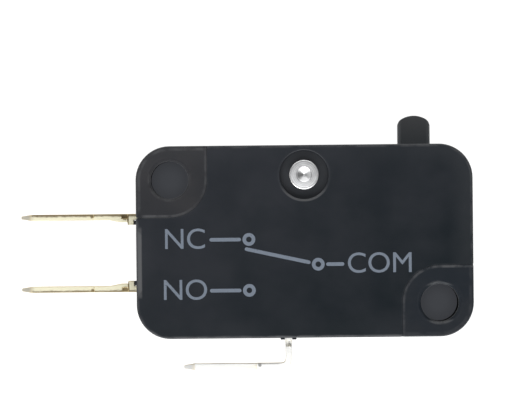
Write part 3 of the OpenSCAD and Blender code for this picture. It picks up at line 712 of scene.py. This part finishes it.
def lid_wear_and_light(place, patchy):
    inwards = outline_distance_wire(place)
    # Partly rubbed wear, partly painted highlight.
    outline = band(inwards, -0.14, 0.14) * 0.45
    to_right = step(axis(place, "X"), 7.0, 12.5)
    # Painted sheen: paler towards the lid's edge, most on the right.
    painted_edge_sheen = step(inwards, -2.2, -0.2) * (to_right * 0.085 + 0.045)
    pads = pad_wear_and_highlight(place, 0.08, 0.1) * 0.2
    from_rivet = radius_about(place, rivet_axis)
    lower = lower_side(place, rivet_axis)
    # Painted highlight round the recess, strongest on its lower lip.
    lip_highlight = band(from_rivet, RECESS_RIM, 0.16) * (lower * 0.78 + 0.1)
    # Painted light on the recess's floor, lifting its shade, more on its upper side.
    painted_recess_light = 1.0 - step(from_rivet, RECESS_RIM - 0.2, RECESS_RIM - 0.05)
    painted_recess_light = painted_recess_light * (0.27 - lower * 0.13)
    up = axis(place, "Y")
    above_open_tab = step(up, bevel_bottom, bevel_bottom + 0.4)
    below_closed_tab = 1.0 - step(up, bevel_top - 0.4, bevel_top)
    # Painted highlight along the bevel between the side terminals.
    bevel = band(axis(place, "X"), BEVEL_X, 0.26) * (above_open_tab * below_closed_tab) * 0.76
    lid_pale_marks = (outline.at_least(pads) * patchy).at_least(lip_highlight).at_least(painted_recess_light).at_least(bevel)
    return lid_pale_marks.at_least(painted_edge_sheen)


def plunger_crown_sheen(place, patchy):
    """Paler towards the crown, a painted sheen laid on evenly, so that the patchy mask isn't used."""
    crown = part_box("plunger")[1].y / MM
    return step(axis(place, "Y"), crown - 2.2, crown) * 0.8


def dress(name, material):
    for slot in nodes[name].material_slots:
        slot.material = material


COVER_DARK = (0.0024, 0.0058, 0.009)
COVER_LIGHT = (0.017, 0.019, 0.0244)
PLUNGER_DARK = (0.042, 0.0475, 0.053)
PLUNGER_LIGHT = (0.051, 0.056, 0.0615)
cover_plastic = moulded_plastic("cover_plastic", COVER_DARK, COVER_LIGHT, 0.42, lid_wear_and_light)
plunger_plastic = moulded_plastic("plunger_plastic", PLUNGER_DARK, PLUNGER_LIGHT, 0.48, plunger_crown_sheen)
cover_lid.data.materials.append(cover_plastic)
dress("plunger", plunger_plastic)
print("bevel from", round(bevel_bottom, 2), "to", round(bevel_top, 2), "mm")

# %% [markdown]
# The terminals are punched from brass strip. The rolled faces have fine streaks along the strip, and the
# punched edges are rough: a part of each is burnished by the punch, and the rest is torn and has gone
# brown. In the photograph we look at those edges. Separate pieces for the edges would show seams, so the
# shader tells edges from faces by the normal, along Z, and leaves the tint of the edges to a test of each
# terminal's own.

# %% Stamped metal
ALONG_STRIP = (0.15, 3.0, 3.0)
TORN_STRETCH = (0.5, 2.5, 1.0)
EDGE_FACING = (0.6, 0.9)
STREAK_DEPTH = 0.006
PLAIN_EDGE_ROUGH = 0.3
PUNCHED_EDGE_ROUGH = 0.45


def rolled_metal(name, colour, dull, roughness, streak=ALONG_STRIP, punched=None):
    """Rolled metal; punched takes the shade, the place, how far it faces along Z and a ragged mask."""
    material, place = new_finish(name, {"Metallic": 1.0})
    facing = abs(axis(place.make("ShaderNodeTexCoord", out="Normal"), "Z"))
    edge = step(facing, *EDGE_FACING)
    streaks = noise(place, 6.0, 3.0, streak)
    stain = noise(place, 0.6, 3.0)
    torn = noise(place, 5.0, 3.0, TORN_STRETCH)
    shade = mix(step(stain, 0.35, 0.75), colour, dull)
    edge_rough = PLAIN_EDGE_ROUGH
    if punched:
        shade = punched(shade, place, facing, (torn - 0.5) * 0.25 + (stain - 0.5) * 0.2)
        edge_rough = PUNCHED_EDGE_ROUGH
    feed(material, "Base Color", shade)
    rough = roughness + (streaks - 0.5) * 0.16 + edge * edge_rough + (stain - 0.5) * 0.08
    feed(material, "Roughness", rough)
    bump(material, streaks * 0.5 + torn * edge, STREAK_DEPTH)
    return material


print("streaks", STREAK_DEPTH, "mm deep")

# %% [markdown]
# On a punched edge the torn part is a dark line along one side. A distance across the sheet says where it
# runs: along the outer faces of the two side tabs. At the neck, the shoulder and the tab's step it is
# widened into painted shade, where those steps fall in shade. The common terminal's edges are painted
# paler, painted light, and its line lies on the upper face of the tab. The tabs' points are coined,
# pressed to a wedge, and their slanting edges get painted shade.

# %% How far a point lies across a terminal's sheet
SHEET = 0.5
ABOVE_TAB = 9.0
NECK_X = -14.85
SHOULDER_X = -14.57
TAB_STEP_X = -17.52
closed_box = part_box("normally_closed_terminal")
open_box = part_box("normally_open_terminal")
common_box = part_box("common_terminal")
side_middle = (closed_box[1].y + open_box[0].y) / 2 / MM
tab_outside = (closed_box[1].y - open_box[0].y) / 2 / MM
common_bottom = common_box[0].y / MM


def across_side_tabs(place):
    """From -0.25 on the inner face to 0.25 on the outer face of the two side tabs; more at the neck, the
    shoulder and the tab's step, where it is painted shade.
    """
    across = abs(axis(place, "Y") - side_middle) - (tab_outside - SHEET / 2)
    # Painted shade at the neck, the shoulder and the tab's step.
    painted_neck_shade = band(axis(place, "X"), NECK_X, 0.3) * 0.3
    painted_shoulder_shade = band(axis(place, "X"), SHOULDER_X, 0.09)
    painted_step_shade = band(axis(place, "X"), TAB_STEP_X, 0.22) * 0.14
    upper = step(axis(place, "Y"), side_middle - 0.1, side_middle + 0.1) * 0.045
    return across + painted_neck_shade + painted_shoulder_shade + painted_step_shade + upper


def across_common_tab(place):
    """From -0.25 on the lower face to 0.25 on the upper face of the common terminal's tab."""
    above_bottom = axis(place, "Y") - (common_bottom + SHEET / 2)
    return above_bottom - step(above_bottom, 0.27, 0.3) * ABOVE_TAB


print("side tabs", round(2 * tab_outside, 2), "mm apart outside")

# %% Brass of the terminals
COMMON_SHOULDER_X = common_box[0].x / MM + 6.25
COMMON_BEND_X = -2.1
COMMON_NECK_Y = -8.4
BRASS = (0.72, 0.6, 0.33)
DULL_BRASS = (0.6, 0.48, 0.25)
BURNISHED = (0.82, 0.795, 0.65)
TORN_BROWN_AND_SHADE = (0.28, 0.23, 0.14)
# Near-white edge colours of the common terminal: painted light on the same brass as the side tabs.
PAINTED_LIGHT_BURNISHED = (1.0, 1.0, 0.98)
PAINTED_LIGHT_TORN_GREY = (0.95, 0.95, 0.94)
SHOULDER_GREY = (0.42, 0.42, 0.41)
# Greys of painted shade on the tabs' slanting points; the common terminal's is paler, painted light as
# well.
TIP_SHADE_GREY = (0.36, 0.35, 0.32)
LIT_TIP_SHADE_GREY = (0.56, 0.58, 0.61)


def punched_edges(line, shade, facing, burnished, torn):
    return mix(step(facing, *EDGE_FACING), shade, mix(line, burnished, torn))


def painted_tip_shade(shade, place, facing, box, tip_grey):
    """The slanting edges of a tab's point, within a millimetre of its end, get painted shade."""
    tip = box[0].x / MM
    at_tip = 1.0 - step(axis(place, "X"), tip + 0.5, tip + 1.1)
    return mix(at_tip * step(facing, 0.3, 0.6) * 0.85, shade, tip_grey)


def side_edges(shade, place, facing, ragged):
    line = step(across_side_tabs(place) + ragged, 0.02, 0.2)
    shade = punched_edges(line, shade, facing, BURNISHED, TORN_BROWN_AND_SHADE)
    return painted_tip_shade(shade, place, facing, closed_box, TIP_SHADE_GREY)


def common_edges(shade, place, facing, ragged):
    along = axis(place, "X")
    at_shoulder = band(along, COMMON_SHOULDER_X, 0.22)
    beyond = step(along, COMMON_SHOULDER_X - 0.1, COMMON_SHOULDER_X + 0.1) * 0.35
    line = step(across_common_tab(place) + ragged + at_shoulder * 0.14, 0.08, 0.2)
    line = line * (1.0 - step(along, COMMON_BEND_X - 0.2, COMMON_BEND_X + 0.2))
    torn = mix(at_shoulder.at_least(beyond), PAINTED_LIGHT_TORN_GREY, SHOULDER_GREY)
    facing_y = abs(axis(place.make("ShaderNodeTexCoord", out="Normal"), "Y"))
    notch = band(axis(place, "Y"), COMMON_NECK_Y, 0.5) * facing_y
    shade = punched_edges(line, shade, facing.at_least(notch), PAINTED_LIGHT_BURNISHED, torn)
    return painted_tip_shade(shade, place, facing, common_box, LIT_TIP_SHADE_GREY)


side_brass = rolled_metal("side_terminal_brass", BRASS, DULL_BRASS, 0.34, punched=side_edges)
common_brass = rolled_metal("common_terminal_brass", BRASS, DULL_BRASS, 0.34, punched=common_edges)
dress("normally_closed_terminal", side_brass)
dress("normally_open_terminal", side_brass)
dress("common_terminal", common_brass)
print("brass:", side_brass.name, common_brass.name)

# %% [markdown]
# The lid is clamped by one aluminium rivet. A spinning tool has formed its low domed head, left fine
# rings on it, and punched a small cone in the middle. A cylinder with loop cuts could be pushed into that
# shape, but it is a turned form, so we draw half of its section once, as points from the axis outwards,
# and spin that round the axis.

# %% Section of the rivet
RIM_R = 0.09
HEAD_H = 0.42
SHANK_R = 0.8
DIMPLE_R = 0.62
DIMPLE_DEPTH = 0.39
DOME_DROP = 0.045
LIP_R = 0.05
CONE_STEPS = 8
DOME_STEPS = 40
RING_PITCH = 0.14
RING_HEIGHT = 0.005
rivet_r = (rivet_box[1].x - rivet_box[0].x) / 2 / MM
rivet_top = rivet_box[1].z / MM
rivet_bottom = rivet_box[0].z / MM


def arc(centre, radius, start, stop, count):
    """Points on an arc in the section, from one angle in degrees to another."""
    angles = [math.radians(start + (stop - start) * k / count) for k in range(count + 1)]
    return [(centre[0] + radius * math.cos(a), centre[1] + radius * math.sin(a)) for a in angles]


def dome_point(r):
    outwards = (r - DIMPLE_R) / (rivet_r - RIM_R - DIMPLE_R)
    groove = RING_HEIGHT * (1.0 - math.cos(2 * math.pi * r / RING_PITCH))
    return (r, rivet_top - DOME_DROP * outwards**2 - groove)


dome_start, dome_stop = DIMPLE_R + LIP_R, rivet_r - RIM_R
cone_bottom = rivet_top - DIMPLE_DEPTH
cone_top = rivet_top - LIP_R / 2
rim_x = rivet_r - RIM_R
section = [(0.0, cone_bottom)]
for k in range(CONE_STEPS + 1):
    rise = k / CONE_STEPS
    out = LIP_R + (DIMPLE_R - 2 * LIP_R) * rise
    section.append((out, cone_bottom + (cone_top - cone_bottom) * rise))
for k in range(DOME_STEPS + 1):
    section.append(dome_point(dome_start + (dome_stop - dome_start) * k / DOME_STEPS))
section += arc((rim_x, rivet_top - DOME_DROP - RIM_R), RIM_R, 70, 0, 6)
section += arc((rim_x, rivet_top - HEAD_H + RIM_R), RIM_R, 0, -90, 6)
section += [(SHANK_R, rivet_top - HEAD_H), (SHANK_R, rivet_bottom + HEAD_H)]
section += arc((rim_x, rivet_bottom + HEAD_H - RIM_R), RIM_R, 90, 0, 6)
section += arc((rivet_r - 2 * RIM_R, rivet_bottom + 2 * RIM_R), 2 * RIM_R, 0, -90, 10)
section += [(0.0, rivet_bottom)]
print("section of", len(section), "points")


# %% Spun rivet
def spun_piece(name, points, axis_point, turns=96):
    """A closed form spun from half of its section about an upright axis, all in millimetres."""
    form = bmesh.new()
    verts = [form.verts.new(((axis_point.x + r) * MM, axis_point.y * MM, z * MM)) for r, z in points]
    edges = [form.edges.new(pair) for pair in zip(verts, verts[1:])]
    centre = (axis_point.x * MM, axis_point.y * MM, 0.0)
    whole = 2 * math.pi
    bmesh.ops.spin(form, geom=verts + edges, cent=centre, axis=(0, 0, 1), angle=whole, steps=turns)
    bmesh.ops.remove_doubles(form, verts=form.verts, dist=SAME_PLACE)
    bmesh.ops.recalc_face_normals(form, faces=form.faces)
    return piece_from(form, name)


spun_rivet = spun_piece("spun_rivet", section, rivet_axis)
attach(spun_rivet, "housing")
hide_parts("cover_rivet")
print("rivet faces:", len(spun_rivet.data.polygons))

# %% [markdown]
# The tool leaves three finishes on the rivet: a burnished cone, a duller dome with grime in its rings,
# and a bright rim. The radius about the axis tells them apart, and a cosine of it draws the grime at the
# same pitch as the rings of the mesh, so that the two always agree. The cone is painted a darker grey,
# painted shade in the dimple, and the dome is painted darker on the plunger's side, painted shade where
# it faces the dimmer side of the room.

# %% Turned aluminium
ALUMINIUM = (0.85, 0.855, 0.87)
BRIGHT_ALUMINIUM = (0.97, 0.975, 0.98)
GRIME_AND_SHADE_GREY = (0.5, 0.505, 0.515)
CONE_SHADE_GREY = (0.5, 0.505, 0.51)


def turned_aluminium(name):
    material, place = new_finish(name, {"Metallic": 1.0})
    radius = radius_about(place, rivet_axis)
    inside_rim = 1.0 - step(radius, rivet_r - 0.15, rivet_r - 0.05)
    on_dome = step(radius, DIMPLE_R, DIMPLE_R + 0.08) * inside_rim
    in_cone = 1.0 - step(radius, DIMPLE_R - 0.1, DIMPLE_R)
    turns = radius * (2 * math.pi / RING_PITCH)
    wave = radius.make("ShaderNodeMath", {"operation": "COSINE"}, {0: turns})
    in_rings = on_dome * (0.47 - wave * 0.17)
    # Painted shade on the dome's half on the plunger's side.
    upper = step(axis(place, "Y") - rivet_axis.y, -0.2, 1.0) * step(radius, 0.75, 1.1) * 0.38
    smear = noise(place, 3.0, 3.0)
    shade = mix(step(smear, 0.3, 0.7), ALUMINIUM, BRIGHT_ALUMINIUM)
    shade = mix((in_rings + upper).at_most(1.0), shade, GRIME_AND_SHADE_GREY)
    # Painted shade in the dimple: the cone is painted a darker grey.
    feed(material, "Base Color", mix(in_cone, shade, CONE_SHADE_GREY))
    feed(material, "Roughness", 0.22 + in_cone * 0.08 + on_dome * 0.26 + (smear - 0.5) * 0.16)
    bump(material, noise(place, 9.0, 2.0), 0.004)
    return material


rivet_aluminium = turned_aluminium("rivet_aluminium")
spun_rivet.data.materials.append(rivet_aluminium)
print("rivet in", rivet_aluminium.name)

# %% [markdown]
# The working parts inside are of four more metals: silver for the contacts, bronze for the springy blade,
# plain steel for the lever, and drawn steel wire for the coil. They take the same rolled finish, with
# other colours and streaks.

# %% Metals of the mechanism
EVEN = (1.0, 1.0, 1.0)
SILVER, DULL_SILVER = (0.88, 0.87, 0.84), (0.66, 0.64, 0.6)
BRONZE, DULL_BRONZE = (0.74, 0.46, 0.28), (0.55, 0.32, 0.19)
STEEL, DULL_STEEL = (0.56, 0.57, 0.59), (0.42, 0.42, 0.43)
WIRE_STEEL, DULL_WIRE_STEEL = (0.5, 0.51, 0.53), (0.36, 0.36, 0.37)

contact_silver = rolled_metal("contact_silver", SILVER, DULL_SILVER, 0.3, EVEN)
blade_bronze = rolled_metal("blade_bronze", BRONZE, DULL_BRONZE, 0.32)
lever_steel = rolled_metal("lever_steel", STEEL, DULL_STEEL, 0.38)
spring_steel = rolled_metal("spring_steel", WIRE_STEEL, DULL_WIRE_STEEL, 0.3, EVEN)
for name in ("moving_contact", "normally_closed_contact", "normally_open_contact"):
    dress(name, contact_silver)
dress("contact_blade", blade_bronze)
dress("actuating_lever", lever_steel)
print("metals:", contact_silver.name, blade_bronze.name, lever_steel.name, spring_steel.name)

# %% [markdown]
# The coil spring hooks into the blade at one end and into the lever at the other, and both ends move. The
# wire is made as two halves that meet in the middle of the coil, the first from the blade's hook and the
# second to the lever's hook. The middle line is a hook, a helix and the same hook turned round. A
# bevelled curve would make the tube as well; here a ring of points is carried along the line without
# twisting.

# %% Middle line of the spring wire
COIL_R = 0.81
COIL_TURNS = 15
COIL_START = 1.2
HOOK_TAIL = 0.5
HOOK_NECK = 0.3
TURN_STEPS = 24
HOOK_STEPS = 10
BLADE_HOOK = 5.85
LEVER_HOOK = Vector((3.5, 1.5, 0.0))
HALF_SWING = math.radians(2.852)

joints = frame["record"]["behaviour"]["joints"]
joint_place = {j["name"]: Vector(j["pos_m"]) / MM for j in joints if "pos_m" in j}
to_blade_hook = Vector((-math.cos(HALF_SWING), math.sin(HALF_SWING), 0.0))
spring_from = joint_place["blade_swing"] + BLADE_HOOK * to_blade_hook
spring_to = joint_place["lever_rock"] + LEVER_HOOK
along = (spring_to - spring_from).normalized()
beside = Vector((-along.y, along.x, 0.0))
spring_length = (spring_to - spring_from).length


def hook_curve(s):
    """Smooth bend from the top of the hook to the start of the coil, as s goes from 0 to 1."""
    ends = [(0, HOOK_NECK, 0), (0, COIL_R, 0), (COIL_START, COIL_R, -COIL_R), (COIL_START, COIL_R, 0)]
    weights = [(1 - s) ** 3, 3 * s * (1 - s) ** 2, 3 * s * s * (1 - s), s**3]
    return sum((w * Vector(e) for w, e in zip(weights, ends)), Vector((0, 0, 0)))


hook = [Vector((0, -HOOK_TAIL, 0))] + [hook_curve(k / HOOK_STEPS) for k in range(HOOK_STEPS)]
far_hook = [Vector((spring_length - p.x, p.y, -p.z)) for p in reversed(hook)]
coil_length = spring_length - 2 * COIL_START
coil = []
for k in range(COIL_TURNS * TURN_STEPS + 1):
    angle = 2 * math.pi * k / TURN_STEPS
    way = COIL_START + coil_length * k / (COIL_TURNS * TURN_STEPS)
    coil.append(Vector((way, COIL_R * math.cos(angle), COIL_R * math.sin(angle))))
wire_line = [spring_from + along * p.x + beside * p.y + Vector((0, 0, p.z)) for p in hook + coil + far_hook]
print("wire points:", len(wire_line), "spring length in mm:", round(spring_length, 2))


# %% Two halves of the spring
WIRE_R = 0.14


def wire_piece(name, points, sides=10):
    """A closed tube along the points, in millimetres."""
    form = bmesh.new()
    across = Vector((1, 0, 0))
    rings = []
    for i, point in enumerate(points):
        ahead = (points[min(i + 1, len(points) - 1)] - points[max(i - 1, 0)]).normalized()
        across = (across - across.dot(ahead) * ahead).normalized()
        up = ahead.cross(across)
        angles = [2 * math.pi * k / sides for k in range(sides)]
        ring = [point + (across * math.cos(a) + up * math.sin(a)) * WIRE_R for a in angles]
        rings.append([form.verts.new(p * MM) for p in ring])
    for here, after in zip(rings, rings[1:]):
        for k in range(sides):
            form.faces.new((here[k - 1], here[k], after[k], after[k - 1]))
    form.faces.new(list(reversed(rings[0])))
    form.faces.new(rings[-1])
    bmesh.ops.recalc_face_normals(form, faces=form.faces)
    piece = piece_from(form, name)
    piece.data.materials.append(spring_steel)
    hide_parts("snap_spring")
    return piece


half_way = len(wire_line) // 2
blade_end = spring_from + along * COIL_START / 2
lever_end = spring_to - along * COIL_START / 2
middle = (spring_from + spring_to) / 2
blade_half = wire_piece("spring_blade_half", wire_line[: half_way + 1])
lever_half = wire_piece("spring_lever_half", wire_line[half_way:])
blade_end * MM
middle * MM
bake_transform(blade_half)
middle * MM
lever_end * MM
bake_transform(lever_half)
print("spring halves:", len(blade_half.data.polygons), len(lever_half.data.polygons))

# %% [markdown]
# The lid is printed in grey-blue ink. We print what any such switch may carry: the three contact
# designations and the plain drawing-office symbol of a changeover contact. The symbol is made of
# round-ended strokes and rings. A print could be a mask in the lid's material, but thin solids keep their
# crisp edges near by. They stand about a hundredth of a millimetre proud, because flat faces on the lid
# would flicker.

# %% Ink pieces
INK_HEIGHT = 0.008
INK_SINK = 0.004
STROKE = 0.3
STROKE_END_STEPS = 8
RING_POINTS = 24


def ink_piece(name, mesh):
    mesh.name = name
    piece = bpy.data.objects.new(name, mesh)
    bpy.context.scene.collection.objects.link(piece)
    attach(piece, "housing")
    return piece


def extruded(outlines):
    """A mesh of thin solids over closed outlines in millimetres on the lid; each is a list of rings."""
    form = bmesh.new()
    for rings in outlines:
        levels = []
        for z in (front - INK_SINK, front + INK_HEIGHT):
            levels.append([[form.verts.new((x * MM, y * MM, z * MM)) for x, y in loop] for loop in rings])
        for low, high in zip(*levels):
            for k in range(len(low)):
                form.faces.new((low[k - 1], low[k], high[k], high[k - 1]))
        for rings_at in levels:
            if len(rings_at) == 1:
                form.faces.new(rings_at[0])
            else:
                outer, inner = rings_at
                for k in range(len(outer)):
                    form.faces.new((outer[k - 1], outer[k], inner[k], inner[k - 1]))
    bmesh.ops.recalc_face_normals(form, faces=form.faces)
    mesh = bpy.data.meshes.new("ink")
    form.to_mesh(mesh)
    form.free()
    return mesh


def stroke(start, stop):
    """Outline of a straight stroke with round ends."""
    heading = math.degrees(math.atan2(stop[1] - start[1], stop[0] - start[0]))
    far_end = arc(stop, STROKE / 2, heading - 90, heading + 90, STROKE_END_STEPS)
    near_end = arc(start, STROKE / 2, heading + 90, heading + 270, STROKE_END_STEPS)
    return [far_end + near_end]


def ring(centre, radius):
    """Outline of a circle drawn with the same pen."""
    last = 360 - 360 / RING_POINTS
    radii = (radius + STROKE / 2, radius - STROKE / 2)
    return [arc(centre, r, 0, last, RING_POINTS - 1) for r in radii]


print("ink from", -INK_SINK, "to", INK_HEIGHT, "mm about the lid")

# %% Symbol of a changeover contact
CLOSED_Y, OPEN_Y, COMMON_Y = 0.2, -4.0, -1.9
LEAD_X, CONTACT_X, PIVOT_X = -7.7, -4.6, 1.1
COMMON_LEAD = 2.0
BLADE_PAST = 0.2
DOT_R = 0.38
GAP = 0.12
clear = DOT_R + STROKE + GAP
symbol = []
for y in (CLOSED_Y, OPEN_Y):
    symbol.append(stroke((LEAD_X, y), (CONTACT_X - clear, y)))
    symbol.append(ring((CONTACT_X, y), DOT_R))
symbol.append(ring((PIVOT_X, COMMON_Y), DOT_R))
symbol.append(stroke((PIVOT_X + clear, COMMON_Y), (PIVOT_X + COMMON_LEAD, COMMON_Y)))
blade_tip = Vector((CONTACT_X - BLADE_PAST, CLOSED_Y - clear))
blade_root = Vector((PIVOT_X, COMMON_Y))
to_tip = (blade_tip - blade_root).normalized()
symbol.append(stroke(blade_root + to_tip * clear, blade_tip))
changeover_symbol = ink_piece("changeover_symbol", extruded(symbol))
print("symbol faces:", len(changeover_symbol.data.polygons))

# %% [markdown]
# The designations stand beside the leads of the symbol: NC for the contact that is closed at rest, NO for
# the one that is open, and COM for the blade between them. Blender's built-in font gives the letters, and
# the text is turned into a mesh at once, so that the print is the same on every machine.

# %% Contact designations
LETTER_SIZE = 2.4
SIDE_WORD_X = -9.9
COMMON_WORD_X = 6.2


def letters(word, centre):
    """A word in the built-in font as a thin mesh, centred on a point of the lid in millimetres."""
    font = bpy.data.curves.new(word, "FONT")
    font.body = word
    font.size = LETTER_SIZE * MM
    font.align_x = "CENTER"
    font.align_y = "CENTER"
    font.extrude = (INK_HEIGHT + INK_SINK) / 2 * MM
    maker = bpy.data.objects.new(word, font)
    bpy.context.scene.collection.objects.link(maker)
    bpy.context.view_layer.update()
    solid = maker.evaluated_get(bpy.context.evaluated_depsgraph_get())
    mesh = bpy.data.meshes.new_from_object(solid)
    bpy.data.objects.remove(maker)
    bpy.data.curves.remove(font)
    for vert in mesh.vertices:
        vert.co += Vector((*centre, front + (INK_HEIGHT - INK_SINK) / 2)) * MM
    return ink_piece("letters_" + word.lower(), mesh)


words = {
    "NC": (SIDE_WORD_X, CLOSED_Y),
    "NO": (SIDE_WORD_X, OPEN_Y),
    "COM": (COMMON_WORD_X, COMMON_Y),
}
printed = [changeover_symbol] + [letters(word, centre) for word, centre in words.items()]
print("printed:", [piece.name for piece in printed])

# %% [markdown]
# Pad printing lays the ink on thinly, so it is never quite even, and handling wears specks of it away
# until the black shows through. One noise blots the colour, a finer one makes the specks and their
# relief, and all four printed pieces share the material.

# %% Worn ink
INK = (0.122, 0.146, 0.182)
THICK_INK = (0.162, 0.19, 0.235)
WORN_THROUGH = (0.036, 0.043, 0.055)


def worn_ink(name):
    material, place = new_finish(name, {"Specular IOR Level": 0.3})
    blot = noise(place, 2.2, 4.0)
    speck = noise(place, 9.0, 3.0)
    worn = step(speck * 0.6 + blot * 0.4, 0.56, 0.72)
    ink = mix(blot, INK, THICK_INK)
    feed(material, "Base Color", mix(worn * 0.7, ink, WORN_THROUGH))
    feed(material, "Roughness", 0.5 + (speck - 0.5) * 0.2)
    bump(material, speck, 0.004)
    return material


pad_ink = worn_ink("pad_ink")
for piece in printed:
    piece.data.materials.clear()
    piece.data.materials.append(pad_ink)
print("ink on", len(printed), "pieces")
